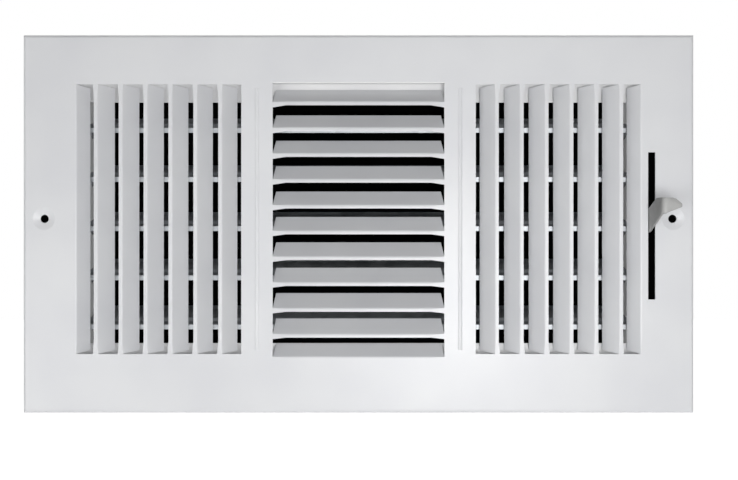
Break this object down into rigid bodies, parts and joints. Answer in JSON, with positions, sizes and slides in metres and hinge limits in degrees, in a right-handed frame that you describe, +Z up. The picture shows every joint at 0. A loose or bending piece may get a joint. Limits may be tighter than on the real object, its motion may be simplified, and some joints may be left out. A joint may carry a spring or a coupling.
{
  "type": "sidewall ceiling register",
  "caption": "Stamped white sidewall or ceiling register with left, down and right louvre banks and a lever-worked multi-blade damper behind the face.",
  "frame": {"origin": "middle of the face on the wall plane, where the turned-back rim meets the wall", "axes": "+X to the right seen from the room, +Z up, +Y into the wall and the duct"},
  "size_m": [0.3492, 0.0612, 0.1968],
  "materials": {
    "white_enamel": "semi-gloss",
    "frame_enamel": "satin",
    "blade_steel": "galvanised",
    "zinc_steel": "zinc plated",
    "bright_steel": "bright"
  },
  "bodies": {
    "register": {"face_plate": "white_enamel", "damper_top_rail": "frame_enamel", "damper_bottom_rail": "frame_enamel", "left_end_plate": "frame_enamel", "right_end_plate": "frame_enamel"},
    "blade_1": {"damper_blade_1": "blade_steel", "pivot_stud_left_1": "bright_steel", "pivot_stud_right_1": "bright_steel"},
    "blade_2": {"damper_blade_2": "blade_steel", "pivot_stud_left_2": "bright_steel", "pivot_stud_right_2": "bright_steel"},
    "blade_3": {"damper_blade_3": "blade_steel", "pivot_stud_left_3": "bright_steel", "lever_spindle": "bright_steel", "control_lever": "zinc_steel"},
    "blade_4": {"damper_blade_4": "blade_steel", "pivot_stud_left_4": "bright_steel", "pivot_stud_right_4": "bright_steel"},
    "blade_5": {"damper_blade_5": "blade_steel", "pivot_stud_left_5": "bright_steel", "pivot_stud_right_5": "bright_steel"},
    "link": {"link_bar": "zinc_steel", "link_pins": "bright_steel"}
  },
  "joints": [
    {"name": "lever_swing", "type": "hinge", "parent": "register", "child": "blade_3", "pos_m": [0, 0.018, -0.001], "axis": [1, 0, 0], "range_deg": [-34, 50]},
    {"name": "blade_1_turn", "type": "hinge", "parent": "register", "child": "blade_1", "pos_m": [0, 0.018, 0.051], "axis": [1, 0, 0], "range_deg": [-34, 50]},
    {"name": "blade_2_turn", "type": "hinge", "parent": "register", "child": "blade_2", "pos_m": [0, 0.018, 0.025], "axis": [1, 0, 0], "range_deg": [-34, 50]},
    {"name": "blade_4_turn", "type": "hinge", "parent": "register", "child": "blade_4", "pos_m": [0, 0.018, -0.027], "axis": [1, 0, 0], "range_deg": [-34, 50]},
    {"name": "blade_5_turn", "type": "hinge", "parent": "register", "child": "blade_5", "pos_m": [0, 0.018, -0.053], "axis": [1, 0, 0], "range_deg": [-34, 50]},
    {"name": "link_swing", "type": "hinge", "parent": "blade_3", "child": "link", "pos_m": [0.1455, 0.0284, -0.00246], "axis": [1, 0, 0], "range_deg": [-50, 34]}
  ],
  "couplings": [
    {"joint": "blade_1_turn", "follows": "lever_swing", "ratio": 1},
    {"joint": "blade_2_turn", "follows": "lever_swing", "ratio": 1},
    {"joint": "blade_4_turn", "follows": "lever_swing", "ratio": 1},
    {"joint": "blade_5_turn", "follows": "lever_swing", "ratio": 1},
    {"joint": "link_swing", "follows": "lever_swing", "ratio": -1}
  ]
}
